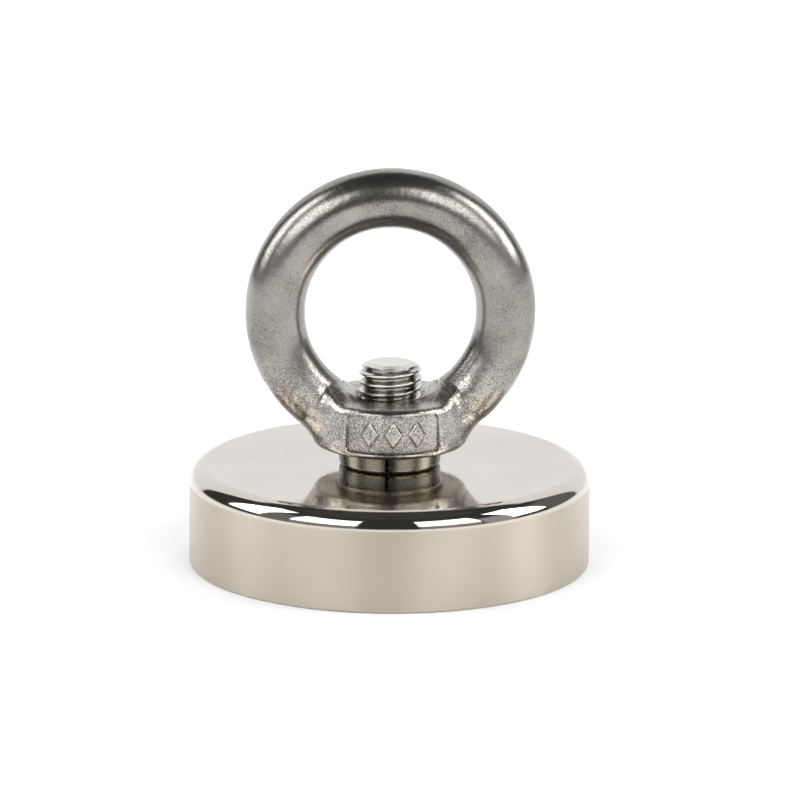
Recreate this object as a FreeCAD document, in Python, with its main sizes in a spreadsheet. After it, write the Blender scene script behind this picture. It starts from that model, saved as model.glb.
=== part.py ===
"""Pot magnet for magnet fishing: a steel pot with a ring magnet, a countersunk screw and an eye nut.

Millimetres. The origin is the centre of the pull face, +Z points up through the screw and -Y is the front.
"""

import FreeCAD
import Part
import math
import os
import Sketcher

# The driving dimensions. Heights are above the pull face unless a name says otherwise.
DIMENSIONS = (
    ("pot_diameter", 75.0),
    ("pot_height", 18.8),
    ("pot_wall", 6.0),
    ("pot_back", 10.2),
    ("pot_top_round", 3.4),
    ("pot_rim_round", 0.4),
    ("screw_clearance", 0.35),
    ("magnet_recess", 0.3),
    ("magnet_thickness", 7.9),
    ("magnet_bore", 26.0),
    ("magnet_edge", 0.4),
    ("glue_gap", 1.0),
    ("thread_diameter", 11.86),
    ("thread_pitch", 1.75),
    ("thread_depth", 1.07),
    ("thread_clearance", 0.15),
    ("thread_crest_height", 35.4),
    ("thread_run_out", 2.1),
    ("groove_overcut", 0.2),
    ("screw_length", 30.0),
    ("screw_top", 38.3),
    ("head_diameter", 24.0),
    ("head_edge", 0.5),
    ("socket_flats", 8.0),
    ("socket_depth", 4.5),
    ("point_diameter", 7.7),
    ("point_shoulder", 9.9),
    ("point_drop", 0.35),
    ("washer_bore", 12.3),
    ("washer_diameter", 19.2),
    ("washer_lower_diameter", 18.7),
    ("washer_thickness", 3.1),
    ("washer_split", 0.75),
    ("washer_split_place", -0.5),
    ("washer_lower_round", 0.9),
    ("washer_upper_round", 0.25),
    ("spigot_diameter", 19.8),
    ("spigot_height", 0.95),
    ("collar_height", 10.15),
    ("collar_diameter", 28.5),
    ("collar_top_diameter", 27.2),
    ("collar_widest", 3.6),
    ("collar_lower_round", 0.9),
    ("collar_upper_round", 0.8),
    ("ring_centre_height", 26.1),
    ("ring_centreline", 21.5),
    ("ring_section", 5.55),
    ("ring_sweep", 310.0),
    ("spot_face", 18.8),
    ("spot_face_depth", 9.0),
    ("panel_width", 18.3),
    ("panel_tall", 7.0),
    ("panel_centre", 5.5),
    ("panel_low_diameter", 27.4),
    ("panel_high_diameter", 26.9),
    ("mark_pitch", 4.45),
    ("mark_wide", 3.0),
    ("mark_tall", 4.6),
    ("mark_height", 0.3),
    ("nut_yaw", 2.8),
    ("bore_clearance", 0.3),
    ("overcut", 0.5),
)

doc = FreeCAD.newDocument("magnet_fishing_magnet")
sheet = doc.addObject("Spreadsheet::Sheet", "dims")
for row, (alias, value) in enumerate(DIMENSIONS, start=1):
    sheet.set(f"A{row}", alias)
    sheet.set(f"B{row}", str(value))
    sheet.setAlias(f"B{row}", alias)
doc.recompute()

# Expressions that several pieces share.
SEAT = "(dims.pot_height + dims.washer_thickness)"
POT_FLOOR = "(dims.pot_height - dims.pot_back)"
THREAD_OUT = "(dims.thread_diameter / 2)"
THREAD_IN = "(dims.thread_diameter / 2 - dims.thread_depth)"
COLLAR = "(dims.collar_diameter / 2)"
FLANK = "tan(30deg)"
SCREW_BOTTOM = "(dims.screw_top - dims.screw_length)"
# The 90 degree countersink: radius and height add up to this everywhere on its cone.
CONE_REACH = f"({SCREW_BOTTOM} + dims.head_edge + dims.head_diameter / 2)"
# Lengths and volumes that differ by less than this are the same.
TOLERANCE = 1e-3
# Turns by which a thread's groove runs on beyond the metal.
SPARE_TURNS = 2


def body_named(label):
    """A new body whose Label is the name of its node."""
    body = doc.addObject("PartDesign::Body", label)
    body.Label = label
    return body


def plane_of(body, role):
    """One of the body's own origin planes."""
    for feature in body.Origin.OriginFeatures:
        if feature.Role == role:
            return feature
    raise ValueError(role)


def new_sketch(body, name, role, offset=None):
    """An empty sketch on an origin plane; offset is an expression for its distance along the normal."""
    sketch = body.newObject("Sketcher::SketchObject", name)
    sketch.AttachmentSupport = (plane_of(body, role), [""])
    sketch.MapMode = "FlatFace"
    if offset:
        sketch.setExpression("AttachmentOffset.Base.z", offset)
    doc.recompute()
    return sketch


def drive(sketch, kind, references, expression):
    """Adds one driving distance to a sketch and binds it to the sheet."""
    value = float(sketch.evalExpression(expression))
    index = sketch.addConstraint(Sketcher.Constraint(kind, *references, value))
    sketch.setExpression(f"Constraints[{index}]", expression)


def outline(sketch, corners):
    """A closed outline of straight sides; a corner is two expressions, measured from the sketch's origin."""
    places = []
    for across, up in corners:
        place = (sketch.evalExpression(across), sketch.evalExpression(up))
        places.append(FreeCAD.Vector(float(place[0]), float(place[1]), 0))
    first = sketch.GeometryCount
    count = len(places)
    for start, end in zip(places, places[1:] + places[:1]):
        sketch.addGeometry(Part.LineSegment(start, end))
    for side in range(count):
        follower = first + (side + 1) % count
        sketch.addConstraint(Sketcher.Constraint("Coincident", first + side, 2, follower, 1))
    for side, (across, up) in enumerate(corners):
        drive(sketch, "DistanceX", (-1, 1, first + side, 1), across)
        drive(sketch, "DistanceY", (-1, 1, first + side, 1), up)


def circle(sketch, across, up, diameter):
    """A circle whose centre and diameter are expressions."""
    centre = FreeCAD.Vector(float(sketch.evalExpression(across)), float(sketch.evalExpression(up)), 0)
    radius = float(sketch.evalExpression(diameter)) / 2
    index = sketch.addGeometry(Part.Circle(centre, FreeCAD.Vector(0, 0, 1), radius))
    drive(sketch, "DistanceX", (-1, 1, index, 3), across)
    drive(sketch, "DistanceY", (-1, 1, index, 3), up)
    drive(sketch, "Diameter", (index,), diameter)


def turned(body, name, corners):
    """A solid of revolution about the vertical axis, from a half section."""
    sketch = new_sketch(body, f"{name}_section", "XZ_Plane")
    outline(sketch, corners)
    feature = body.newObject("PartDesign::Revolution", name)
    feature.Profile = sketch
    feature.ReferenceAxis = (sketch, ["V_Axis"])
    feature.Angle = 360
    doc.recompute()
    return feature


def cut_from(body, name, sketch, length, reverse=False):
    """A pocket of a stated depth that has to take something away."""
    before = body.Shape.Volume
    feature = body.newObject("PartDesign::Pocket", name)
    feature.Profile = sketch
    feature.Reversed = reverse
    feature.setExpression("Length", length)
    doc.recompute()
    if body.Shape.Volume > before - TOLERANCE:
        raise RuntimeError(f"{name} cuts nothing")
    return feature


def circle_edges(shape, radius, height):
    """The names of the full circles of one radius about the vertical axis at one height."""
    names = []
    for index, edge in enumerate(shape.Edges, start=1):
        curve = edge.Curve
        if not isinstance(curve, Part.Circle):
            continue
        off_axis = math.hypot(curve.Center.x, curve.Center.y)
        if max(abs(curve.Radius - radius), abs(curve.Center.z - height), off_axis) < TOLERANCE:
            names.append(f"Edge{index}")
    return names


def rounded(body, name, edges, radius):
    """A fillet on named edges of the body's last feature."""
    base = body.Tip
    feature = body.newObject("PartDesign::Fillet", name)
    feature.Base = (base, edges)
    feature.setExpression("Radius", radius)
    doc.recompute()
    return feature


def broken(body, name, edges, width):
    """A chamfer on named edges of the body's last feature."""
    base = body.Tip
    feature = body.newObject("PartDesign::Chamfer", name)
    feature.Base = (base, edges)
    feature.setExpression("Size", width)
    doc.recompute()
    return feature


def size(expression):
    """The number that an expression of the sheet stands for."""
    return float(sheet.evalExpression(expression.replace("dims.", "")))


def thread_groove(body, name, inner, outer, narrow, wide, height, span):
    """A right-hand helical groove: its section is a trapezoid with one side at each radius."""
    sketch = new_sketch(body, f"{name}_section", "XZ_Plane")
    outline(
        sketch,
        (
            (inner, f"{height} - {narrow} / 2"),
            (outer, f"{height} - {wide} / 2"),
            (outer, f"{height} + {wide} / 2"),
            (inner, f"{height} + {narrow} / 2"),
        ),
    )
    before = body.Shape.Volume
    feature = body.newObject("PartDesign::SubtractiveHelix", name)
    feature.Profile = sketch
    feature.ReferenceAxis = (sketch, ["V_Axis"])
    feature.Mode = 0
    feature.setExpression("Pitch", "dims.thread_pitch")
    feature.setExpression("Height", span)
    feature.LeftHanded = False
    feature.Reversed = False
    doc.recompute()
    if body.Shape.Volume > before - TOLERANCE:
        raise RuntimeError(f"{name} cuts nothing")
    return feature


# Pot: a steel cup, open downwards, with a countersunk hole through its back for the screw's head.
pot = body_named("pot_shell")
turned(
    pot,
    "cup",
    (
        (f"{THREAD_OUT} + dims.screw_clearance", "dims.pot_height"),
        ("dims.pot_diameter / 2", "dims.pot_height"),
        ("dims.pot_diameter / 2", "0"),
        ("dims.pot_diameter / 2 - dims.pot_wall", "0"),
        ("dims.pot_diameter / 2 - dims.pot_wall", POT_FLOOR),
        (f"{CONE_REACH} - {POT_FLOOR}", POT_FLOOR),
        (f"{THREAD_OUT} + dims.screw_clearance", f"{CONE_REACH} - {THREAD_OUT} - dims.screw_clearance"),
    ),
)
outer_radius = size("dims.pot_diameter / 2")
top_edge = circle_edges(pot.Shape, outer_radius, size("dims.pot_height"))
rounded(pot, "top_round", top_edge, "dims.pot_top_round")
rim_edge = circle_edges(pot.Shape, outer_radius, 0)
rounded(pot, "rim_round", rim_edge, "dims.pot_rim_round")

# Ring magnet: a plain ring, its face a little inside the rim.
magnet = body_named("ring_magnet")
turned(
    magnet,
    "ring",
    (
        ("dims.magnet_bore / 2", "dims.magnet_recess"),
        ("dims.pot_diameter / 2 - dims.pot_wall - dims.glue_gap", "dims.magnet_recess"),
        (
            "dims.pot_diameter / 2 - dims.pot_wall - dims.glue_gap",
            "dims.magnet_recess + dims.magnet_thickness",
        ),
        ("dims.magnet_bore / 2", "dims.magnet_recess + dims.magnet_thickness"),
    ),
)
face_height = size("dims.magnet_recess")
face_edges = circle_edges(
    magnet.Shape, size("dims.pot_diameter / 2 - dims.pot_wall - dims.glue_gap"), face_height
)
face_edges += circle_edges(magnet.Shape, size("dims.magnet_bore / 2"), face_height)
broken(magnet, "face_break", face_edges, "dims.magnet_edge")

# Potting resin: one cured piece, a film on the pot's floor and a ring round the magnet.
resin = body_named("potting_resin")
turned(
    resin,
    "fill",
    (
        ("dims.magnet_bore / 2", "dims.magnet_recess + dims.magnet_thickness"),
        (
            "dims.pot_diameter / 2 - dims.pot_wall - dims.glue_gap",
            "dims.magnet_recess + dims.magnet_thickness",
        ),
        ("dims.pot_diameter / 2 - dims.pot_wall - dims.glue_gap", "dims.magnet_recess + dims.magnet_edge"),
        ("dims.pot_diameter / 2 - dims.pot_wall", "dims.magnet_recess + dims.magnet_edge"),
        ("dims.pot_diameter / 2 - dims.pot_wall", POT_FLOOR),
        ("dims.magnet_bore / 2", POT_FLOOR),
    ),
)

# Countersunk screw: 90 degree head with a hexagon socket, threaded up to a shouldered point.
screw = body_named("countersunk_screw")
turned(
    screw,
    "blank",
    (
        ("0", SCREW_BOTTOM),
        ("dims.head_diameter / 2", SCREW_BOTTOM),
        ("dims.head_diameter / 2", f"{SCREW_BOTTOM} + dims.head_edge"),
        (THREAD_OUT, f"{CONE_REACH} - {THREAD_OUT}"),
        (
            THREAD_OUT,
            f"dims.screw_top - dims.point_drop - {THREAD_OUT} + dims.point_shoulder / 2",
        ),
        ("dims.point_shoulder / 2", "dims.screw_top - dims.point_drop"),
        ("dims.point_diameter / 2", "dims.screw_top"),
        ("0", "dims.screw_top"),
    ),
)
# The groove lies half a turn from the crest and starts a run-out's length above the cone.
THREAD_START = f"({CONE_REACH} - {THREAD_OUT} + dims.thread_run_out)"
turns_below = math.floor(size(f"(dims.thread_crest_height - {THREAD_START}) / dims.thread_pitch"))
thread_groove(
    screw,
    "thread",
    THREAD_IN,
    f"({THREAD_OUT} + dims.groove_overcut)",
    f"(dims.thread_pitch * 7 / 8 - 2 * dims.thread_depth * {FLANK})",
    f"(dims.thread_pitch * 7 / 8 + 2 * dims.groove_overcut * {FLANK})",
    f"(dims.thread_crest_height - {turns_below - 0.5} * dims.thread_pitch)",
    f"{turns_below + SPARE_TURNS} * dims.thread_pitch",
)
socket_sketch = new_sketch(screw, "socket_section", "XY_Plane", SCREW_BOTTOM)
corner = "(dims.socket_flats / 2 / cos(30deg))"
outline(
    socket_sketch,
    [(f"{corner} * cos({60 * side}deg)", f"{corner} * sin({60 * side}deg)") for side in range(6)],
)
cut_from(screw, "socket", socket_sketch, "dims.socket_depth", reverse=True)

# Spring washer: a split ring pressed flat, a little wider on top, its lower outer corner well rounded.
washer = body_named("spring_washer")
turned(
    washer,
    "ring",
    (
        ("dims.washer_bore / 2", "dims.pot_height"),
        ("dims.washer_lower_diameter / 2", "dims.pot_height"),
        ("dims.washer_diameter / 2", SEAT),
        ("dims.washer_bore / 2", SEAT),
    ),
)
lower_edge = circle_edges(washer.Shape, size("dims.washer_lower_diameter / 2"), size("dims.pot_height"))
rounded(washer, "lower_round", lower_edge, "dims.washer_lower_round")
upper_edge = circle_edges(washer.Shape, size("dims.washer_diameter / 2"), size(SEAT))
rounded(washer, "upper_round", upper_edge, "dims.washer_upper_round")
split_sketch = new_sketch(washer, "split_section", "XY_Plane", "dims.pot_height")
outline(
    split_sketch,
    (
        ("dims.washer_split_place - dims.washer_split / 2", "0"),
        ("dims.washer_split_place + dims.washer_split / 2", "0"),
        ("dims.washer_split_place + dims.washer_split / 2", "-dims.washer_diameter"),
        ("dims.washer_split_place - dims.washer_split / 2", "-dims.washer_diameter"),
    ),
)
cut_from(washer, "split", split_sketch, "dims.washer_thickness", reverse=True)

# Eye nut: ring and collar in one casting. It is drawn with its seat at height 0 and placed on the washer.
# A low spigot under the collar is what bears on the washer.
nut = body_named("eye_nut")
turned(
    nut,
    "collar",
    (
        ("0", "0"),
        ("dims.spigot_diameter / 2", "0"),
        ("dims.spigot_diameter / 2", "dims.spigot_height"),
        (COLLAR, "dims.spigot_height"),
        (COLLAR, "dims.collar_widest"),
        ("dims.collar_top_diameter / 2", "dims.collar_height"),
        ("0", "dims.collar_height"),
    ),
)
lower_edge = circle_edges(nut.Shape, size(COLLAR), size("dims.spigot_height"))
rounded(nut, "collar_lower_round", lower_edge, "dims.collar_lower_round")
upper_edge = circle_edges(nut.Shape, size("dims.collar_top_diameter / 2"), size("dims.collar_height"))
rounded(nut, "collar_upper_round", upper_edge, "dims.collar_upper_round")
ring_sketch = new_sketch(nut, "ring_section", "YZ_Plane", "0")
ring_sketch.setExpression("AttachmentOffset.Base.y", "dims.ring_centre_height")
doc.recompute()
circle(ring_sketch, "0", "dims.ring_centreline", "2 * dims.ring_section")
ring_feature = nut.newObject("PartDesign::Revolution", "ring")
ring_feature.Profile = ring_sketch
ring_feature.ReferenceAxis = (ring_sketch, ["H_Axis"])
ring_feature.setExpression("Angle", "dims.ring_sweep")
ring_feature.Midplane = True
doc.recompute()
gap_sketch = new_sketch(nut, "spot_face_section", "XY_Plane", "dims.collar_height + dims.spot_face_depth")
circle(gap_sketch, "0", "0", "dims.spot_face")
cut_from(nut, "spot_face", gap_sketch, "dims.spot_face_depth")

# Its bore: chamfered at both ends and tapped with the screw's own helix, a little larger all round.
NUT_BORE = f"({THREAD_IN} + dims.bore_clearance)"
bore_sketch = new_sketch(nut, "bore_section", "XY_Plane")
circle(bore_sketch, "0", "0", f"2 * {NUT_BORE}")
cut_from(nut, "bore", bore_sketch, "dims.collar_height + dims.overcut", reverse=True)
bore_edges = circle_edges(nut.Shape, size(NUT_BORE), 0)
bore_edges += circle_edges(nut.Shape, size(NUT_BORE), size("dims.collar_height"))
broken(nut, "bore_break", bore_edges, "dims.thread_depth")
NUT_GROOVE_DEPTH = "(dims.thread_depth + dims.thread_clearance)"
nut_turns = math.ceil(size("dims.collar_height / dims.thread_pitch")) + SPARE_TURNS
turns_to_seat = math.ceil(size(f"(dims.thread_crest_height - {SEAT}) / dims.thread_pitch")) + 1
thread_groove(
    nut,
    "tapping",
    THREAD_IN,
    f"({THREAD_OUT} + dims.thread_clearance)",
    f"(dims.thread_pitch / 8 + 2 * {NUT_GROOVE_DEPTH} * {FLANK})",
    "(dims.thread_pitch / 8)",
    f"(dims.thread_crest_height - {SEAT} + (dims.nut_yaw / 360 - {turns_to_seat}) * dims.thread_pitch)",
    f"{nut_turns} * dims.thread_pitch",
)

# A shallow panel on the front and on the back of the collar.
PANEL_BOTTOM = "dims.panel_centre - dims.panel_tall / 2"
PANEL_TOP = "dims.panel_centre + dims.panel_tall / 2"
for side, sign in (("front", "-1"), ("back", "1")):
    panel_sketch = new_sketch(nut, f"{side}_panel_section", "YZ_Plane")
    outline(
        panel_sketch,
        (
            (f"{sign} * dims.panel_low_diameter / 2", PANEL_BOTTOM),
            (f"{sign} * ({COLLAR} + dims.overcut)", PANEL_BOTTOM),
            (f"{sign} * ({COLLAR} + dims.overcut)", PANEL_TOP),
            (f"{sign} * dims.panel_high_diameter / 2", PANEL_TOP),
        ),
    )
    before = nut.Shape.Volume
    panel = nut.newObject("PartDesign::Groove", f"{side}_panel")
    panel.Profile = panel_sketch
    panel.ReferenceAxis = (panel_sketch, ["V_Axis"])
    panel.Midplane = True
    panel.setExpression("Angle", "2 * asin(dims.panel_width / dims.collar_diameter)")
    doc.recompute()
    if nut.Shape.Volume > before - TOLERANCE:
        raise RuntimeError(f"{side} panel cuts nothing")

# Three plain raised lozenges on the front panel.
PANEL_FLOOR = "((dims.panel_low_diameter + dims.panel_high_diameter) / 4)"
for place in (-1, 0, 1):
    swing = math.degrees(place * size("dims.mark_pitch") / size(PANEL_FLOOR))
    mark_sketch = new_sketch(nut, f"mark_section_{place + 2}", "XZ_Plane")
    depth = size(f"{PANEL_FLOOR} - dims.overcut")
    mark_sketch.AttachmentOffset = FreeCAD.Placement(
        FreeCAD.Vector(depth * math.sin(math.radians(swing)), 0, depth * math.cos(math.radians(swing))),
        FreeCAD.Rotation(FreeCAD.Vector(0, 1, 0), swing),
    )
    outline(
        mark_sketch,
        (
            ("-dims.mark_wide / 2", "dims.panel_centre"),
            ("0", "dims.panel_centre - dims.mark_tall / 2"),
            ("dims.mark_wide / 2", "dims.panel_centre"),
            ("0", "dims.panel_centre + dims.mark_tall / 2"),
        ),
    )
    mark = nut.newObject("PartDesign::Pad", f"mark_{place + 2}")
    mark.Profile = mark_sketch
    mark.setExpression("Length", "dims.overcut + dims.mark_height")
    doc.recompute()

nut.setExpression("Placement.Base.z", SEAT)
nut.setExpression("Placement.Rotation.Angle", "dims.nut_yaw")
doc.recompute()

# Every object has to be sound before anything is written.
for item in doc.Objects:
    if "Invalid" in item.State or "Error" in item.State:
        raise RuntimeError(f"{item.Label}: {item.State}")
os.makedirs("parts", exist_ok=True)
for body in (pot, magnet, resin, screw, washer, nut):
    shape = body.Shape
    if shape.isNull() or not shape.isValid() or len(shape.Solids) != 1:
        raise RuntimeError(f"{body.Label} is not one sound solid")
    shape.exportStep(f"parts/{body.Label}.step")
    box = shape.optimalBoundingBox()
    reach = f"x {box.XMin:.2f} to {box.XMax:.2f}, z {box.ZMin:.2f} to {box.ZMax:.2f}"
    print(f"{body.Label}: {shape.Volume:.0f} mm3, {reach}")
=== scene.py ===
"""Looks of a magnet fishing magnet: plated pot, ring magnet, potting, screw, lock washer and cast eye nut.

Shapes are worked out in millimetres in the frame's axes and turned into metres when a mesh is made.
"""

import bpy
import math
import numpy as np
import openvdb
from mathutils import Matrix, Quaternion, Vector


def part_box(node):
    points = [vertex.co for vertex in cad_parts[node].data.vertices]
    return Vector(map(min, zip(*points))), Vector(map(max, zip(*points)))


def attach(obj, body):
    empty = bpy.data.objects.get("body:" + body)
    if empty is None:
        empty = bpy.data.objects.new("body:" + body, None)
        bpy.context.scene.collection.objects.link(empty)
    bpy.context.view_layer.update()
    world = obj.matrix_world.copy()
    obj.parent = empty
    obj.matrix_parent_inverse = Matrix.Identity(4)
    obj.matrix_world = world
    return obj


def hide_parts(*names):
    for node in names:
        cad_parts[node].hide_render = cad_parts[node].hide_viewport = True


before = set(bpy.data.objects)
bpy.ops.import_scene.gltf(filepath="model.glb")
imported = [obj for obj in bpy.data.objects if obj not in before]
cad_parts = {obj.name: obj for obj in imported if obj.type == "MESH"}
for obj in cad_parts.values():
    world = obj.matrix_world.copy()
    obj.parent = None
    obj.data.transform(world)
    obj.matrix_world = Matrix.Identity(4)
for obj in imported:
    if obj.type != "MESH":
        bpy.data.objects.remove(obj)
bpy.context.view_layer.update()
MM = 0.001


def node_box(node):
    """Lowest and highest corner of a CAD node, in millimetres."""
    low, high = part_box(node)
    return np.array(low) / MM, np.array(high) / MM


_, POT_HIGH = node_box("pot_shell")
MAGNET_LOW, MAGNET_HIGH = node_box("ring_magnet")
RESIN_LOW, RESIN_HIGH = node_box("potting_resin")
SCREW_LOW, SCREW_HIGH = node_box("countersunk_screw")
WASHER_LOW, WASHER_HIGH = node_box("spring_washer")
SEAT = node_box("eye_nut")[0][2]

# Sizes that the boxes don't give.
POT_TOP_ROUND = 3.4
POT_RIM_ROUND = 0.5
SCREW_HOLE = 6.28
MAGNET_BORE = 13.0
CONE_REACH = 20.8
MENISCUS = 0.18
THREAD_OUT = 5.93
THREAD_IN = 4.86
THREAD_CLEARANCE = 0.15
PITCH = 1.75
CREST_HEIGHT = 35.4
POINT_RADIUS = 3.85
POINT_SHOULDER = 4.95
POINT_DROP = 0.35
POINT_BEVEL = (0.12, 0.05)
HEAD_RIM = 0.5
THREAD_SLOPE = math.tan(math.radians(30))
THREAD_CREST = PITCH / 16
SOCKET_FLATS = 8.0
SOCKET_DEPTH = 4.5
SOCKET_CHAMFER = 0.5
SOCKET_MOUTH = SOCKET_FLATS / 2 / math.cos(math.radians(30)) + 0.35
SOCKET_POINT = 0.9
WASHER_BORE = 6.15
WASHER_DRAFT = 0.14
WASHER_SPLIT = 0.75
WASHER_SPLIT_PLACE = -0.5
NUT_YAW = 2.8


# ---------------------------------------------------------------- meshes


def corner_arc(corner, before, after, rounding):
    """The arc that rounds a corner between two directions: ends, centre, sense, radius and angle."""
    turn = math.acos(np.clip(before @ after, -1, 1))
    reach = rounding * math.tan(turn / 2)
    sign = math.copysign(1, before[0] * after[1] - before[1] * after[0])
    first = corner - before * reach
    last = corner + after * reach
    centre = first + sign * rounding * np.array((-before[1], before[0]))
    return first, last, centre, sign, rounding, turn


def arc_points(arc, steps):
    """Points and normals along such an arc, between its ends."""
    first, _, centre, sign, rounding, turn = arc
    x, y = first - centre
    for step in range(1, steps):
        angle = sign * turn * step / steps
        cos, sin = math.cos(angle), math.sin(angle)
        spoke = np.array((x * cos - y * sin, x * sin + y * cos))
        yield centre + spoke, sign * spoke / rounding


def rounded_profile(corners, closed=True, arc_steps=10):
    """Runs of (points, normals) along an outline whose corners are (radius, height, rounding).

    The outline goes anticlockwise, with the solid on its left. Tangent pieces share a run, and a sharp
    corner ends one.
    """
    count = len(corners)
    points = [np.array(corner[:2], float) for corner in corners]
    sides = count if closed else count - 1
    directions = []
    for side in range(sides):
        along = points[(side + 1) % count] - points[side]
        directions.append(along / np.linalg.norm(along))
    arcs = {}
    for index, (_, _, rounding) in enumerate(corners):
        inner = closed or 0 < index < count - 1
        if inner and rounding > 0:
            arcs[index] = corner_arc(points[index], directions[index - 1], directions[index], rounding)
    runs = []
    run = []
    for side in range(sides):
        along = directions[side]
        normal = np.array((along[1], -along[0]))
        start = arcs[side][1] if side in arcs else points[side]
        follower = (side + 1) % count
        end = arcs[follower][0] if follower in arcs else points[follower]
        if side not in arcs and run:
            runs.append(run)
            run = []
        length = np.linalg.norm(end - start)
        for share in (0.0, 1.0) if length > 1e-6 else (0.0,):
            run.append((start + along * length * share, normal))
        if follower in arcs:
            run.extend(arc_points(arcs[follower], arc_steps))
    if closed and 0 in arcs and runs:
        runs[0] = run + runs[0]
    elif closed and 0 in arcs:
        run.append(run[0])
        runs.append(run)
    else:
        runs.append(run)
    return [(np.array([p for p, _ in run]), np.array([n for _, n in run])) for run in runs]


class Shell:
    """Collects grids of points with their normals and welds them into one mesh."""

    def __init__(self):
        self.corners = []
        self.normals = []

    def grid(self, points, normals):
        """Adds a grid: rows by columns of points and of unit normals, wound to face along the normals."""
        near, far = slice(None, -1), slice(1, None)
        order = ((near, near), (near, far), (far, far), (far, near))
        corners = np.stack([points[r, c] for r, c in order], 2).reshape(-1, 4, 3)
        directions = np.stack([normals[r, c] for r, c in order], 2).reshape(-1, 4, 3)
        facing = np.cross(corners[:, 2] - corners[:, 0], corners[:, 3] - corners[:, 1])
        if (facing * directions.sum(1)).sum() < 0:
            corners, directions = corners[:, ::-1], directions[:, ::-1]
        self.corners.append(corners)
        self.normals.append(directions)

    def columns(self, points, normals):
        """Adds a grid that is given column by column."""
        self.grid(np.swapaxes(points, 0, 1), np.swapaxes(normals, 0, 1))

    def fan(self, rim, normals, centre):
        """Adds triangles from a closed rim to a centre point."""
        middle = np.repeat(np.array(centre, float)[None], len(rim) - 1, 0)
        corners = np.stack((rim[:-1], rim[1:], middle, middle), 1)
        directions = np.stack((normals[:-1], normals[1:], normals[:-1], normals[:-1]), 1)
        facing = np.cross(corners[:, 1] - corners[:, 0], corners[:, 2] - corners[:, 0])
        if (facing * directions[:, 0]).sum() < 0:
            corners, directions = corners[:, ::-1], directions[:, ::-1]
        self.corners.append(corners)
        self.normals.append(directions)

    def mesh(self, name):
        """The welded mesh as an object, in metres."""
        corners = np.concatenate(self.corners)
        normals = np.concatenate(self.normals)
        keys, index = np.unique(np.round(corners.reshape(-1, 3), 5), axis=0, return_inverse=True)
        index = index.reshape(-1, 4)
        faces = []
        face_normals = []
        for face, normal in zip(index.tolist(), normals):
            kept = [i for i in range(4) if face[i] != face[i - 1]]
            if len(kept) < 3 or len({face[i] for i in kept}) < len(kept):
                continue
            faces.append([face[i] for i in kept])
            face_normals.extend(normal[kept])
        return mesh_object(name, keys * MM, faces, face_normals)


def mesh_object(name, points, faces, corner_normals):
    """A smooth-shaded mesh object with a normal for each face corner."""
    data = bpy.data.meshes.new(name)
    data.from_pydata(points.tolist(), [], faces)
    data.validate()
    data.polygons.foreach_set("use_smooth", np.ones(len(data.polygons), bool))
    data.normals_split_custom_set([tuple(normal) for normal in corner_normals])
    data.update()
    made = bpy.data.objects.new(name, data)
    bpy.context.scene.collection.objects.link(made)
    return made


def spin(points, normals, angles):
    """Rows of a profile turned about the vertical axis through the given angles."""
    cos, sin = np.cos(angles), np.sin(angles)
    radius, height = points[:, 0:1], points[:, 1:2]
    flat = np.ones_like(angles)[None]
    turned = np.stack((radius * cos, radius * sin, height * flat), 2)
    out, up = normals[:, 0:1], normals[:, 1:2]
    turned_normals = np.stack((out * cos, out * sin, up * flat), 2)
    return turned, turned_normals


def lathe(name, corners, steps=256, arc_steps=10):
    """A turned piece from a closed outline of (radius, height, rounding) corners."""
    shell = Shell()
    angles = np.linspace(0, 2 * math.pi, steps + 1)
    for points, normals in rounded_profile(corners, True, arc_steps):
        shell.columns(*spin(points, normals, angles))
    return shell.mesh(name)


# ---------------------------------------------------------------- pieces


def build_pot():
    """The steel cup, open downwards, with its countersunk hole."""
    outer = POT_HIGH[0]
    top = POT_HIGH[2]
    floor = RESIN_HIGH[2]
    inner = RESIN_HIGH[0]
    return lathe(
        "pot_shell_visual",
        (
            (SCREW_HOLE, top, 0.15),
            (SCREW_HOLE, CONE_REACH - SCREW_HOLE, 0.1),
            (CONE_REACH - floor, floor, 0.1),
            (inner, floor, 0.4),
            (inner, 0.0, 0.25),
            (outer, 0.0, POT_RIM_ROUND),
            (outer, top, POT_TOP_ROUND),
        ),
        steps=384,
        arc_steps=16,
    )


def build_magnet():
    """The ring magnet with its broken edges."""
    return lathe(
        "ring_magnet_visual",
        (
            (MAGNET_BORE, MAGNET_LOW[2], 0.45),
            (MAGNET_HIGH[0], MAGNET_LOW[2], 0.45),
            (MAGNET_HIGH[0], MAGNET_HIGH[2], 0.2),
            (MAGNET_BORE, MAGNET_HIGH[2], 0.2),
        ),
    )


def build_resin():
    """The cured resin: a film under the magnet and a ring round it with a hollow meniscus."""
    middle = (MAGNET_HIGH[0] + RESIN_HIGH[0]) / 2
    return lathe(
        "potting_resin_visual",
        (
            (MAGNET_BORE, MAGNET_HIGH[2], 0),
            (MAGNET_HIGH[0], MAGNET_HIGH[2], 0),
            (MAGNET_HIGH[0], RESIN_LOW[2], 0),
            (middle, RESIN_LOW[2] + MENISCUS, 1.0),
            (RESIN_HIGH[0], RESIN_LOW[2], 0),
            (RESIN_HIGH[0], RESIN_HIGH[2], 0),
            (MAGNET_BORE, RESIN_HIGH[2], 0),
        ),
    )


def crest_distance(turns):
    """Height, in millimetres, from the nearest of the crests, which lie at whole numbers of turns."""
    return np.abs((turns + 0.5) % 1.0 - 0.5) * PITCH


def thread_radius(offset):
    """Radius of the screw's thread at a height above a crest's middle, with an eased root."""
    flank = THREAD_OUT - np.maximum(crest_distance(offset / PITCH) - THREAD_CREST, 0) / THREAD_SLOPE
    root = THREAD_IN + 0.12
    ease = 0.1
    raised = np.maximum(flank, root)
    near = np.abs(flank - root) < ease
    blend = (flank - root + ease) ** 2 / (4 * ease) + root
    return np.where(near, blend, raised)


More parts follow.
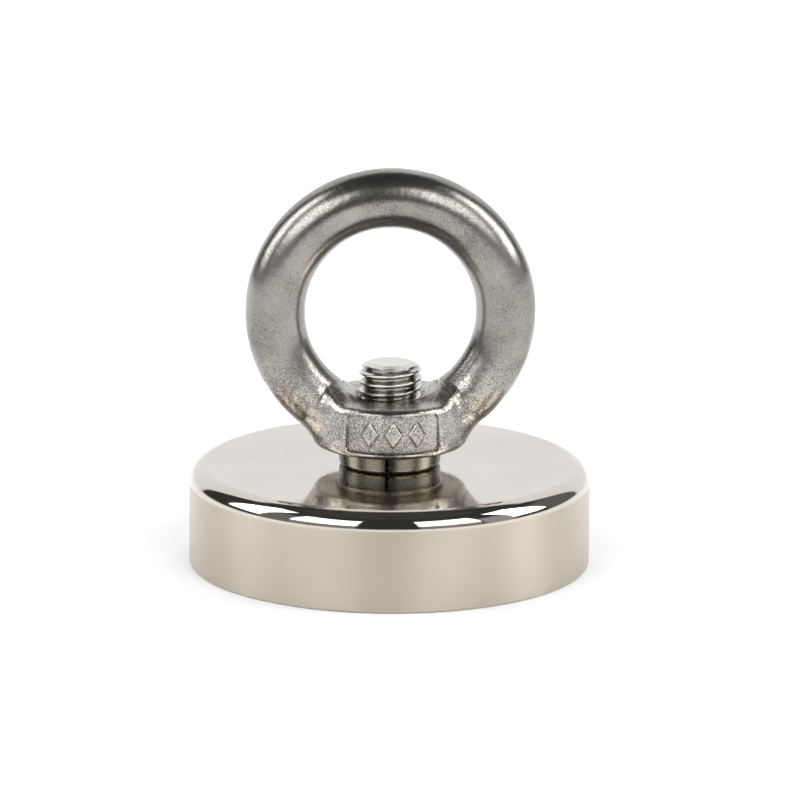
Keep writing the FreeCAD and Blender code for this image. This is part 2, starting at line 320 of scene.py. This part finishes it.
def level_ring(angles, radius, height):
    """Points at one height; the radius is one number, or one for each angle."""
    flat = np.full(len(angles), height)
    return np.stack((radius * np.cos(angles), radius * np.sin(angles), flat), 1)


def screw_head(shell, angles):
    """Adds the head: from the socket's mouth over the face, the edge and the cone to the thread's root."""
    bottom = SCREW_LOW[2]
    outline = (
        (SOCKET_MOUTH, bottom, 0),
        (SCREW_HIGH[0], bottom, 0.15),
        (SCREW_HIGH[0], bottom + HEAD_RIM, 0.12),
        (THREAD_IN, CONE_REACH - THREAD_IN, 0),
    )
    for points, normals in rounded_profile(outline, closed=False):
        shell.columns(*spin(points, normals, angles))


def screw_socket(shell, angles):
    """Adds the socket: a chamfered mouth that runs from a circle to the hexagon, its walls and its floor."""
    bottom = SCREW_LOW[2]
    floor = bottom + SOCKET_DEPTH
    hexagon = SOCKET_FLATS / 2 / np.cos((angles % (math.pi / 3)) - math.pi / 6)
    levels = (
        level_ring(angles, SOCKET_MOUTH, bottom),
        level_ring(angles, hexagon, bottom + SOCKET_CHAMFER),
        level_ring(angles, hexagon, floor),
    )
    for lower, upper in zip(levels, levels[1:]):
        strip = np.stack((upper, lower))
        along = np.gradient(strip, axis=1)
        across = (lower - upper)[None].repeat(2, 0)
        normals = np.cross(along, across)
        normals /= np.linalg.norm(normals, axis=2, keepdims=True)
        inward = -np.sign((normals[..., :2] * strip[..., :2]).sum(2, keepdims=True))
        normals = normals * np.where(inward == 0, 1, inward)
        shell.columns(strip, normals)
    down = np.tile((0.0, 0.0, -1.0), (len(angles), 1))
    shell.fan(levels[-1][::-1], down, (0, 0, floor + SOCKET_POINT))


def screw_thread(shell, angles):
    """Adds the thread, in rows that follow the helix, and returns the radius of its last row.

    It is cut off level at both ends, and by the point's chamfer.
    """
    start = CONE_REACH - THREAD_IN
    shoulder = SCREW_HIGH[2] - POINT_DROP
    rows_per_turn = 18
    first_turn = math.floor((start - CREST_HEIGHT) / PITCH) - 1
    last_turn = math.ceil((shoulder - CREST_HEIGHT) / PITCH) + 1
    turns = np.arange(first_turn * rows_per_turn, last_turn * rows_per_turn + 1) / rows_per_turn
    height = CREST_HEIGHT + (turns[:, None] + angles[None] / (2 * math.pi)) * PITCH
    offset = np.broadcast_to(turns[:, None] * PITCH, height.shape)
    clipped = np.clip(height, start, shoulder)
    offset = offset + clipped - height

    def radius_at(level, phase):
        chamfer = POINT_SHOULDER + np.maximum(shoulder - level, 0)
        return np.minimum(thread_radius(phase), chamfer)

    radius = radius_at(clipped, offset)
    radius = np.where(height <= start, THREAD_IN, radius)
    points = np.stack((radius * np.cos(angles), radius * np.sin(angles), clipped), 2)
    step = 0.01
    above = radius_at(clipped + step, offset + step)
    below = radius_at(clipped - step, offset - step)
    rise = (above - below) / (2 * step)
    swing = -rise * PITCH / (2 * math.pi) / np.maximum(radius, 1)
    normals = np.stack(
        (np.cos(angles) + swing * np.sin(angles), np.sin(angles) - swing * np.cos(angles), -rise), 2
    )
    normals /= np.linalg.norm(normals, axis=2, keepdims=True)
    shell.columns(points, normals)
    return radius[-1]


def screw_point(shell, angles, last_radius):
    """Adds the point: from the last thread's rim over the shoulder to the flat end."""
    top = SCREW_HIGH[2]
    bevel_in, bevel_down = POINT_BEVEL
    rim = level_ring(angles, last_radius, top - POINT_DROP)
    ring = level_ring(angles, POINT_RADIUS, top - bevel_down)
    edge = level_ring(angles, POINT_RADIUS - bevel_in, top)
    slope = math.atan2(POINT_DROP, POINT_SHOULDER - POINT_RADIUS)
    tilt = level_ring(angles, math.sin(slope), math.cos(slope))
    up = np.tile((0.0, 0.0, 1.0), (len(angles), 1))
    shell.grid(np.stack((rim, ring), 1), np.stack((tilt, tilt), 1))
    shell.grid(np.stack((ring, edge), 1), np.stack((tilt, up), 1))
    shell.fan(edge, up, (0, 0, top))


def build_screw():
    """The countersunk screw, added part by part from the head to the point."""
    shell = Shell()
    angles = np.linspace(0, 2 * math.pi, 193)
    screw_head(shell, angles)
    screw_socket(shell, angles)
    last_radius = screw_thread(shell, angles)
    screw_point(shell, angles, last_radius)
    return shell.mesh("countersunk_screw_visual")


def build_washer():
    """The split washer: a flattened ring of rounded wire with a narrow gap at the front."""
    shell = Shell()
    low, high = WASHER_LOW[2], WASHER_HIGH[2]
    outer = WASHER_HIGH[0]
    gap_centre = -math.pi / 2 + WASHER_SPLIT_PLACE / outer
    half_gap = WASHER_SPLIT / 2 / outer
    angles = np.linspace(gap_centre + half_gap, gap_centre + 2 * math.pi - half_gap, 241)
    runs = rounded_profile(
        (
            (WASHER_BORE, low, 0.3),
            (outer - WASHER_DRAFT, low, 0.9),
            (outer, high, 0.25),
            (WASHER_BORE, high, 0.25),
        )
    )
    for points, normals in runs:
        shell.columns(*spin(points, normals, angles))
    outline = np.concatenate([points for points, _ in runs])
    middle = ((WASHER_BORE + outer) / 2, (low + high) / 2)
    for angle, sign in ((angles[0], -1), (angles[-1], 1)):
        spoke = np.array((math.cos(angle), math.sin(angle)))
        face = np.column_stack((outline[:, :1] * spoke, outline[:, 1]))
        normal = sign * np.array((-spoke[1], spoke[0], 0.0))
        if sign > 0:
            face = face[::-1]
        shell.fan(face, np.tile(normal, (len(face), 1)), (*(spoke * middle[0]), middle[1]))
    return shell.mesh("spring_washer_visual")


# ---------------------------------------------------------------- eye nut as a distance field

RING_CENTRE = 26.1
RING_LINE = 21.5
RING_SECTION = 5.55
COLLAR_RADIUS = 14.25
COLLAR_TOP_RADIUS = 13.6
COLLAR_UNDERSIDE = 0.95
COLLAR_LOWER_ROUND = 0.9
COLLAR_UPPER_ROUND = 1.4
COLLAR_WIDEST = 3.6
COLLAR_HEIGHT = 10.15
SPIGOT_RADIUS = 9.9
SPOT_RADIUS = 9.0
SADDLE_RISE = 2.0
SADDLE_ACROSS = (5.0, 9.5)
SADDLE_ALONG = (-9.5, -3.5)
SADDLE_SCALE = 0.93
CREASE_LOW = 2.6
CREASE_HIGH = 1.0
CREASE_START = 8.0
CREASE_SPAN = 2.6
UNEVEN_COLLAR = 0.03
UNEVEN_RING = 0.010
SEAT_BAND = 1.5
NUT_BORE = 5.16
BORE_MOUTH = 1.07
BORE_MOUTH_LIMIT = 1.3
BORE_SCALE = 0.7
PANEL_CENTRE = 5.5
PANEL_RADIUS = 13.6
PANEL_HALF_WIDTH = 9.15
PANEL_HALF_HEIGHT = 3.5
PANEL_FLOOR = 13.7
PANEL_LEAN = 0.25
MARK_PITCH = 4.45
MARK_HALF_WIDTH = 1.5
MARK_HALF_HEIGHT = 2.3
MARK_RISE = 0.35


def round_max(a, b, rounding):
    """Intersection of two fields with a rounded edge."""
    outside = np.hypot(np.maximum(a + rounding, 0), np.maximum(b + rounding, 0))
    return outside + np.minimum(np.maximum(a, b), -rounding)


def round_min(a, b, rounding):
    """Union of two fields with a filleted crease."""
    return -round_max(-a, -b, rounding)


def eased(value, start, end):
    """Nothing before start, one past end, and a smooth step between them."""
    share = np.clip((value - start) / (end - start), 0, 1)
    return share * share * (3 - 2 * share)


def waviness(x, y, z):
    """A smooth uneven height, about one either way, made of fixed waves of several lengths."""
    total = 0.0
    generator = np.random.default_rng(7)
    for length, weight in ((9.0, 0.8), (5.0, 0.6), (3.0, 0.45), (1.9, 0.3), (1.2, 0.2)):
        for _ in range(4):
            direction = generator.normal(size=3)
            direction *= 2 * math.pi / length / np.linalg.norm(direction)
            phase = generator.uniform(0, 2 * math.pi)
            along = direction[0] * x + direction[1] * y + direction[2] * z
            total = total + weight * np.sin(along + phase) / 2
    return total


def casting(x, y, z, radial):
    """Field of the ring, the collar with its saddle-shaped top, and the spigot under it."""
    ring = np.hypot(np.hypot(x, z - RING_CENTRE) - RING_LINE, y) - RING_SECTION
    ring = np.maximum(ring, COLLAR_WIDEST - z)
    lean = math.atan2(COLLAR_RADIUS - COLLAR_TOP_RADIUS, COLLAR_HEIGHT - COLLAR_WIDEST)
    wall = (radial - COLLAR_RADIUS) * math.cos(lean) + (z - COLLAR_WIDEST) * math.sin(lean)
    wall = np.maximum(wall, radial - COLLAR_RADIUS)
    collar = round_max(wall, COLLAR_UNDERSIDE - z, COLLAR_LOWER_ROUND)
    saddle = eased(np.abs(x), *SADDLE_ACROSS) * eased(-np.abs(y), *SADDLE_ALONG)
    top = COLLAR_HEIGHT + SADDLE_RISE * saddle
    collar = round_max(collar, SADDLE_SCALE * (z - top), COLLAR_UPPER_ROUND)
    higher = np.clip((z - CREASE_START) / CREASE_SPAN, 0, 1)
    body = round_min(ring, collar, CREASE_LOW + (CREASE_HIGH - CREASE_LOW) * higher)
    higher = np.clip((z - COLLAR_HEIGHT) / COLLAR_HEIGHT, 0, 1)
    unevenness = UNEVEN_COLLAR + (UNEVEN_RING - UNEVEN_COLLAR) * higher
    body = body + unevenness * waviness(x, y, z) * np.clip(z / SEAT_BAND, 0, 1)
    spot = np.maximum(np.maximum(radial - SPOT_RADIUS, top - z), z - RING_CENTRE)
    body = round_max(body, -spot, 0.3)
    spigot = round_max(radial - SPIGOT_RADIUS, np.maximum(-z, z - COLLAR_WIDEST), 0.15)
    return np.minimum(body, spigot)


def stamped(body, x, y, z, radial):
    """The casting's field with sunk panels at front and back, and three plain lozenges on the front one."""
    reach = np.arctan2(np.abs(x), np.abs(y)) * PANEL_RADIUS - PANEL_HALF_WIDTH
    tall = np.abs(z - PANEL_CENTRE) - PANEL_HALF_HEIGHT
    risen = (z - PANEL_CENTRE + PANEL_HALF_HEIGHT) / (2 * PANEL_HALF_HEIGHT)
    floor_radius = PANEL_FLOOR - PANEL_LEAN * risen
    panel = np.maximum(round_max(reach, tall, 1.2), floor_radius - radial)
    body = round_max(body, -panel, 0.3)
    across = np.arctan2(x, -y) * PANEL_RADIUS
    nearest = np.clip(np.round(across / MARK_PITCH), -1, 1) * MARK_PITCH
    slant = np.abs(across - nearest) / MARK_HALF_WIDTH + np.abs(z - PANEL_CENTRE) / MARK_HALF_HEIGHT - 1
    slant = slant * MARK_HALF_WIDTH * MARK_HALF_HEIGHT / math.hypot(MARK_HALF_WIDTH, MARK_HALF_HEIGHT)
    mark = round_max(slant, np.abs(radial - floor_radius) - MARK_RISE, 0.25)
    mark = np.where(y < 0, mark, 10.0)
    return round_min(body, mark, 0.2)


def tapped_hole(x, y, z, radial):
    """Field of the threaded bore with its chamfered mouths, up to the ring's centre."""
    turn = np.arctan2(y, x) / (2 * math.pi)
    turns = (z + SEAT - CREST_HEIGHT) / PITCH - turn - NUT_YAW / 360
    flank = np.maximum(crest_distance(turns) - THREAD_CREST, 0) / THREAD_SLOPE
    groove = THREAD_OUT + THREAD_CLEARANCE - flank
    depth = np.maximum(BORE_MOUTH - z, z - COLLAR_HEIGHT + BORE_MOUTH)
    mouth = np.minimum(depth, BORE_MOUTH_LIMIT) + NUT_BORE
    bore = np.maximum(np.maximum(groove, mouth), NUT_BORE)
    return np.maximum((radial - bore) * BORE_SCALE, z - RING_CENTRE)


def nut_field(x, y, z):
    """Signed distance, roughly, to the eye nut drawn with its seat at height 0, in millimetres."""
    radial = np.hypot(x, y)
    body = stamped(casting(x, y, z, radial), x, y, z, radial)
    return np.maximum(body, -tapped_hole(x, y, z, radial))


def bulge(place):
    """How far the nut's surface bulges: from -1 in a sharp crease, past 0 where flat, to 1 on an edge."""
    reach = 0.5
    axes = np.eye(3) * reach
    around = sum(nut_field(*(place + sign * axis).T) for axis in axes for sign in (1, -1))
    return np.clip((around - 6 * nut_field(*place.T)) / reach, -1, 1)


def build_nut(cell):
    """The eye nut's field as a mesh at its zero level, with the field's own normals."""
    low = np.array((-28.5, -15.5, -1.2))
    high = np.array((28.5, 15.5, 54.5))
    counts = np.ceil((high - low) / cell).astype(int)
    axes = [low[i] + cell * np.arange(counts[i]) for i in range(3)]
    values = np.empty(counts, np.float32)
    slab = 24
    for start in range(0, counts[0], slab):
        x, y, z = np.meshgrid(axes[0][start : start + slab], axes[1], axes[2], indexing="ij")
        values[start : start + slab] = nut_field(x, y, z)
    values = np.clip(values, -3 * cell, 3 * cell)
    grid = openvdb.FloatGrid(3 * cell)
    grid.copyFromArray(values)
    points, triangles, quads = grid.convertToPolygons(isovalue=0.0, adaptivity=0.0)
    points = points * cell + low

    def slope(place):
        step = 0.02
        parts = []
        for axis in np.eye(3) * step:
            ahead = nut_field(*(place + axis).T)
            behind = nut_field(*(place - axis).T)
            parts.append((ahead - behind) / (2 * step))
        return np.stack(parts, 1)

    for _ in range(3):
        gradient = slope(points)
        value = nut_field(*points.T)
        pull = value[:, None] * gradient / np.maximum((gradient**2).sum(1), 0.05)[:, None]
        points = points - np.clip(pull, -0.4 * cell, 0.4 * cell)
    normals = slope(points)
    normals /= np.linalg.norm(normals, axis=1, keepdims=True)
    # Curvature for the casting's colour: rubbed edges, and painted shade in creases.
    edge_wear_and_crease_shade = bulge(points).astype(np.float32)
    yaw = math.radians(NUT_YAW)
    turn = np.array(
        ((math.cos(yaw), -math.sin(yaw), 0), (math.sin(yaw), math.cos(yaw), 0), (0, 0, 1))
    )
    points = points @ turn.T + np.array((0, 0, SEAT))
    normals = normals @ turn.T
    faces = [list(face) for face in quads.tolist()] + [list(face) for face in triangles.tolist()]
    first = faces[0]
    side = np.cross(points[first[1]] - points[first[0]], points[first[2]] - points[first[0]])
    if side @ normals[first[0]] < 0:
        faces = [face[::-1] for face in faces]
    corner_normals = normals[np.concatenate([np.array(face) for face in faces])]
    made = mesh_object("eye_nut_visual", points * MM, faces, corner_normals)
    made.data.attributes.new("edge_wear_and_crease_shade", "FLOAT", "POINT").data.foreach_set("value", edge_wear_and_crease_shade)
    return made


# ---------------------------------------------------------------- materials


class Nodes:
    """A node tree, with short ways to add and join nodes."""

    def __init__(self, tree):
        self.tree = tree

    def add(self, kind, **settings):
        node = self.tree.nodes.new(kind)
        for key, value in settings.items():
            setattr(node, key, value)
        return node

    def join(self, source, target):
        self.tree.links.new(source, target)

    def combine(self, operation, first, second=0.0):
        """A math node of two values, either of which may be a number."""
        node = self.add("ShaderNodeMath", operation=operation)
        for socket, value in zip(node.inputs, (first, second)):
            if isinstance(value, (int, float)):
                socket.default_value = value
            else:
                self.join(value, socket)
        return node.outputs["Value"]

    def apart(self, vector):
        """The three parts of a vector."""
        node = self.add("ShaderNodeSeparateXYZ")
        self.join(vector, node.inputs["Vector"])
        return tuple(node.outputs)

    def spread(self, source, low, high, out_low, out_high, ease="LINEAR"):
        """Maps a value's range to another, kept within it."""
        node = self.add("ShaderNodeMapRange", interpolation_type=ease)
        node.inputs["From Min"].default_value = low
        node.inputs["From Max"].default_value = high
        node.inputs["To Min"].default_value = out_low
        node.inputs["To Max"].default_value = out_high
        self.join(source, node.inputs["Value"])
        return node.outputs["Result"]

    def mixed(self, share, first, second, blend="MIX"):
        """A mix of two colours; the share, which may be a number, is that of the second."""
        node = self.add("ShaderNodeMix", data_type="RGBA", blend_type=blend)
        if isinstance(share, float):
            node.inputs["Factor"].default_value = share
        else:
            self.join(share, node.inputs["Factor"])
        self.join(first, node.inputs["A"])
        self.join(second, node.inputs["B"])
        return node.outputs["Result"]

    def colours(self, source, *stops):
        """A colour ramp from (position, (r, g, b)) stops."""
        node = self.add("ShaderNodeValToRGB")
        ramp = node.color_ramp
        while len(ramp.elements) < len(stops):
            ramp.elements.new(0.5)
        for element, (position, colour) in zip(ramp.elements, stops):
            element.position = position
            element.color = (*colour, 1)
        self.join(source, node.inputs["Fac"])
        return node.outputs["Color"]


class Surface(Nodes):
    """A material's nodes, with the textures that metals share."""

    def __init__(self, name):
        self.material = bpy.data.materials.new(name)
        self.material.use_nodes = True
        super().__init__(self.material.node_tree)
        self.shader = self.tree.nodes["Principled BSDF"]
        self.place = self.add("ShaderNodeTexCoord").outputs["Object"]

    def noise(self, scale, detail=3.0, roughness=0.5):
        """Noise with about `scale` cells to the millimetre; returns its factor."""
        mapping = self.add("ShaderNodeMapping")
        mapping.inputs["Scale"].default_value = [scale / MM] * 3
        self.join(self.place, mapping.inputs["Vector"])
        node = self.add("ShaderNodeTexNoise")
        node.inputs["Scale"].default_value = 1.0
        node.inputs["Detail"].default_value = detail
        node.inputs["Roughness"].default_value = roughness
        self.join(mapping.outputs["Vector"], node.inputs["Vector"])
        return node.outputs["Fac"]

    def axis_distance(self, *parts):
        """Distance from the vertical axis, from the first two object coordinates."""
        squares = [self.combine("MULTIPLY", part, part) for part in parts]
        return self.combine("SQRT", self.combine("ADD", *squares))

    def bump(self, height, depth):
        """Bump from a height between 0 and 1 that stands for `depth` millimetres."""
        node = self.add("ShaderNodeBump")
        node.inputs["Strength"].default_value = 1.0
        node.inputs["Distance"].default_value = depth * MM
        self.join(height, node.inputs["Height"])
        self.join(node.outputs["Normal"], self.shader.inputs["Normal"])


def metal(name, base, rough, colour_change, rough_change, grain, grain_depth):
    """A bare or plated metal: cloudy colour and gloss, and a fine grain in the surface."""
    nodes = Surface(name)
    nodes.shader.inputs["Metallic"].default_value = 1.0
    cloud = nodes.noise(0.12, detail=4.0)
    fine = nodes.noise(grain, detail=4.0, roughness=0.6)
    dark = [part * (1 - colour_change) for part in base]
    light = [min(part * (1 + colour_change), 1) for part in base]
    nodes.join(nodes.colours(cloud, (0.3, dark), (0.7, light)), nodes.shader.inputs["Base Color"])
    halves = [nodes.combine("MULTIPLY", part, 0.5) for part in (cloud, fine)]
    both = nodes.combine("ADD", *halves)
    gloss = nodes.spread(both, 0.35, 0.65, rough - rough_change, rough + rough_change)
    nodes.join(gloss, nodes.shader.inputs["Roughness"])
    nodes.bump(fine, grain_depth)
    return nodes


def nickel_plate():
    """Nickel over a turned cup: a mirror on the back and its round edge, turning marks round the wall."""
    nodes = Surface("nickel_plate")
    nodes.shader.inputs["Metallic"].default_value = 1.0
    nodes.shader.inputs["Anisotropic"].default_value = 0.8
    nodes.shader.inputs["Anisotropic Rotation"].default_value = 0.25
    around = nodes.add("ShaderNodeTangent", direction_type="RADIAL", axis="Z")
    nodes.join(around.outputs["Tangent"], nodes.shader.inputs["Tangent"])
    cloud = nodes.noise(0.05, detail=4.0)
    mirror = nodes.colours(cloud, (0.35, (0.595, 0.54, 0.465)), (0.65, (0.64, 0.585, 0.51)))
    turned = nodes.colours(cloud, (0.35, (0.53, 0.464, 0.378)), (0.65, (0.57, 0.502, 0.413)))
    x, y, z = nodes.apart(nodes.place)
    edge = (POT_HIGH[2] - POT_TOP_ROUND) * MM
    above = nodes.spread(z, edge - 0.2 * MM, edge + 0.25 * MM, 0.0, 1.0)
    nodes.join(nodes.mixed(above, turned, mirror), nodes.shader.inputs["Base Color"])
    satin = nodes.spread(z, edge, edge + 0.25 * MM, 0.36, 0.0)
    haze = nodes.spread(nodes.noise(0.3, detail=5.0, roughness=0.6), 0.3, 0.7, 0.045, 0.085)
    near = nodes.spread(nodes.axis_distance(x, y), 12 * MM, 24 * MM, 0.4, 0.0)
    specks = nodes.spread(nodes.noise(1.8, detail=1.0), 0.70, 0.76, 0.0, 1.0)
    dust = nodes.combine("MULTIPLY", specks, near)
    gloss = nodes.combine("MAXIMUM", satin, nodes.combine("MAXIMUM", haze, dust))
    nodes.join(gloss, nodes.shader.inputs["Roughness"])
    nodes.bump(nodes.noise(1.2, detail=4.0), 0.0008)
    return nodes.material


def magnet_plate():
    """Satin nickel on the sintered magnet."""
    return metal("magnet_plate", (0.66, 0.65, 0.63), 0.22, 0.04, 0.06, 2.5, 0.006).material


def bright_steel():
    """Plated steel, with painted shade darkening the thread's roots and the socket, and none on the end."""
    nodes = metal("bright_steel", (0.66, 0.63, 0.57), 0.17, 0.07, 0.06, 2.0, 0.01)
    x, y, z = nodes.apart(nodes.place)
    # Painted shade: the colour falls to 0.4 of itself in the thread's roots and in the socket, but not on
    # the end.
    root = nodes.spread(nodes.axis_distance(x, y), 4.95 * MM, 5.6 * MM, 0.4, 1.0)
    end = (SCREW_HIGH[2] - POINT_DROP) * MM
    painted_shade_factor = nodes.combine("MAXIMUM", root, nodes.spread(z, end - 0.6 * MM, end, 0.0, 1.0))
    colour = nodes.shader.inputs["Base Color"]
    nodes.join(nodes.mixed(1.0, colour.links[0].from_socket, painted_shade_factor, "MULTIPLY"), colour)
    return nodes.material


def washer_steel():
    """Dull rolled spring steel."""
    return metal("washer_steel", (0.22, 0.208, 0.168), 0.27, 0.15, 0.07, 3.0, 0.012).material


def cast_stainless():
    """Cast stainless steel: a tumbled ring with painted shade darkening it, a grainy skin on the collar,
    painted shade in creases, rubbed edges.
    """
    nodes = Surface("cast_stainless")
    nodes.shader.inputs["Metallic"].default_value = 1.0
    z = nodes.apart(nodes.place)[2]
    collar_top = (SEAT + COLLAR_HEIGHT) * MM

    def from_collar(on_collar, on_ring):
        """A value on the collar that changes to another over the ring's first 9 mm."""
        return nodes.spread(z, collar_top, collar_top + 9 * MM, on_collar, on_ring)

    skin = from_collar(1.0, 0.35)
    cloud = nodes.noise(0.12, detail=4.0)
    grain = nodes.noise(3.4, detail=3.0, roughness=0.6)
    speckle = nodes.combine("MULTIPLY", nodes.combine("SUBTRACT", grain, 0.5), skin)
    speckle = nodes.combine("ADD", speckle, nodes.combine("MULTIPLY", cloud, 0.3))
    tone = nodes.colours(
        speckle,
        (0.04, (0.190, 0.175, 0.152)),
        (0.15, (0.415, 0.387, 0.342)),
        (0.26, (0.560, 0.526, 0.470)),
    )
    edge_wear_and_crease_shade = nodes.add("ShaderNodeAttribute", attribute_name="edge_wear_and_crease_shade").outputs["Fac"]
    # Painted shade: creases are darkened, down to 0.45 of the colour in the sharpest.
    crease = nodes.spread(edge_wear_and_crease_shade, -0.7, -0.12, 0, 1)
    crease_shade = nodes.colours(crease, (0.0, (0.45, 0.43, 0.40)), (1.0, (1, 1, 1)))
    rubbed = nodes.colours(cloud, (0.3, (0.50, 0.475, 0.435)), (0.7, (0.56, 0.535, 0.49)))
    tone = nodes.mixed(nodes.spread(edge_wear_and_crease_shade, 0.3, 0.75, 0.0, 0.55), tone, rubbed)
    tone = nodes.mixed(1.0, tone, crease_shade, "MULTIPLY")
    # Painted shade: the ring's colour is darkened to 0.76 of the collar's.
    tone = nodes.mixed(1.0, tone, from_collar(1.0, 0.76), "MULTIPLY")
    nodes.join(tone, nodes.shader.inputs["Base Color"])
    gloss = nodes.combine("SUBTRACT", from_collar(0.29, 0.25), nodes.spread(speckle, 0.0, 0.3, -0.06, 0.06))
    gloss = nodes.combine("SUBTRACT", gloss, nodes.spread(edge_wear_and_crease_shade, 0.15, 0.5, 0.0, 0.10))
    nodes.join(gloss, nodes.shader.inputs["Roughness"])
    nodes.bump(nodes.combine("MULTIPLY", grain, skin), 0.04)
    return nodes.material


def cured_resin():
    """Black resin, glossy in patches."""
    nodes = Surface("cured_resin")
    cloud = nodes.noise(0.4, detail=3.0)
    black = nodes.colours(cloud, (0.3, (0.012, 0.012, 0.014)), (0.7, (0.03, 0.03, 0.033)))
    nodes.join(black, nodes.shader.inputs["Base Color"])
    nodes.join(nodes.spread(cloud, 0.3, 0.7, 0.12, 0.3), nodes.shader.inputs["Roughness"])
    nodes.bump(nodes.noise(0.8, detail=2.0), 0.05)
    return nodes.material


def dress(piece, material, body, node):
    """Gives a piece its material and its body, and hides the CAD node it stands for."""
    piece.data.materials.append(material)
    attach(piece, body)
    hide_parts(node)


dress(build_pot(), nickel_plate(), "magnet", "pot_shell")
dress(build_magnet(), magnet_plate(), "magnet", "ring_magnet")
dress(build_resin(), cured_resin(), "magnet", "potting_resin")
dress(build_screw(), bright_steel(), "magnet", "countersunk_screw")
dress(build_washer(), washer_steel(), "washer", "spring_washer")
nut_cell = 0.3
dress(build_nut(nut_cell), cast_stainless(), "eye", "eye_nut")


# ---------------------------------------------------------------- floor, light and camera


def build_floor():
    """A plain pale floor."""
    data = bpy.data.meshes.new("floor")
    reach = 4.0
    corners = [(x * reach, y * reach, 0) for x, y in ((-1, -1), (1, -1), (1, 1), (-1, 1))]
    data.from_pydata(corners, [], [(0, 1, 2, 3)])
    floor = bpy.data.objects.new("floor", data)
    bpy.context.scene.collection.objects.link(floor)
    material = bpy.data.materials.new("floor_white")
    material.use_nodes = True
    shader = material.node_tree.nodes["Principled BSDF"]
    shader.inputs["Base Color"].default_value = (0.9, 0.9, 0.9, 1)
    shader.inputs["Roughness"].default_value = 0.9
    data.materials.append(material)


def build_world():
    """A dark studio: a white sheet behind, grey flats, four softboxes and a pale table all round.

    Headings are in degrees clockwise from straight behind the object; heights are in degrees above the
    table.
    """
    world = bpy.data.worlds.new("studio")
    bpy.context.scene.world = world
    world.use_nodes = True
    nodes = Nodes(world.node_tree)
    x, y, z = nodes.apart(nodes.add("ShaderNodeTexCoord").outputs["Generated"])
    heading = nodes.combine("DEGREES", nodes.combine("ARCTAN2", x, y))
    height = nodes.combine("DEGREES", nodes.combine("ARCSINE", z))

    def within(value, low, high, soft):
        """One between low and high, falling to nothing over a soft edge."""
        middle, half = (low + high) / 2, (high - low) / 2
        away = nodes.combine("ABSOLUTE", nodes.combine("SUBTRACT", value, middle))
        return nodes.spread(away, half - soft / 2, half + soft / 2, 1, 0, "SMOOTHSTEP")

    def panel(headings, heights, strength, soft):
        """A patch of light of that strength between two headings and two heights."""
        patch = nodes.combine("MULTIPLY", within(heading, *headings, soft), within(height, *heights, soft))
        return nodes.combine("MULTIPLY", patch, strength)

    sheet = ((-46, 46), (-90, 50), 1.05, 5)
    flats = (
        ((46, 78), (-90, 42), 0.16, 8),
        ((104, 124), (0, 34), 0.42, 4),
        ((-122, -99), (0, 42), 0.2, 4),
        ((-161, -120), (1, 19), 0.3, 3),
        ((125, 163), (1, 19), 0.3, 3),
    )
    softboxes = (
        ((-100, -74), (13, 56), 4.2, 1.5),
        ((78, 104), (13, 53), 5.4, 1.5),
        ((-161, -120), (18.5, 48), 3.4, 1.5),
        ((125, 163), (18.5, 47), 3.6, 1.5),
    )
    ceiling = ((-180, 180), (62, 90), 0.068, 12)
    light = nodes.spread(height, 0.5, 3.0, 1.0, 0.048, "SMOOTHSTEP")
    for patch in (sheet, *flats, *softboxes, ceiling):
        light = nodes.combine("MAXIMUM", light, panel(*patch))
    background = world.node_tree.nodes["Background"]
    background.inputs["Color"].default_value = (0.985, 1.01, 1.055, 1)
    nodes.join(light, background.inputs["Strength"])


def build_lamps():
    """Large soft lamps that light the table evenly; metal mirrors only the studio round it."""
    for name, place, size, power in (
        ("lamp_over", (0, 0, 1.6), 2.4, 15.0),
        ("lamp_front", (0, -1.5, 1.2), 1.8, 4.0),
        ("lamp_back", (0, 1.5, 1.2), 1.8, 4.0),
    ):
        data = bpy.data.lights.new(name, "AREA")
        data.size = size
        data.energy = power
        lamp = bpy.data.objects.new(name, data)
        bpy.context.scene.collection.objects.link(lamp)
        lamp.location = place
        lamp.rotation_euler = (-Vector(place)).to_track_quat("-Z", "Y").to_euler()
        lamp.visible_glossy = False
        lamp.visible_camera = False


def build_camera():
    """A long lens, 1.2 m away and 15 degrees up, aimed a little above the screw's end."""
    data = bpy.data.cameras.new("camera")
    data.lens = 287.8
    data.sensor_width = 36.0
    data.clip_end = 20.0
    camera = bpy.data.objects.new("camera", data)
    bpy.context.scene.collection.objects.link(camera)
    distance = 1200.0
    rise = math.radians(14.98)
    target = Vector((0, 0, 9.0))
    place = target + distance * Vector((0, -math.cos(rise), math.sin(rise)))
    aim = Vector((1.87, 5.5, 29.54))
    facing = (aim - place).to_track_quat("-Z", "Y")
    roll = Quaternion((0, 0, 1), math.radians(0.347))
    camera.matrix_world = Matrix.Translation(place * MM) @ (facing @ roll).to_matrix().to_4x4()
    bpy.context.scene.camera = camera


build_floor()
build_world()
build_lamps()
build_camera()
bpy.context.scene.view_settings.view_transform = "Standard"
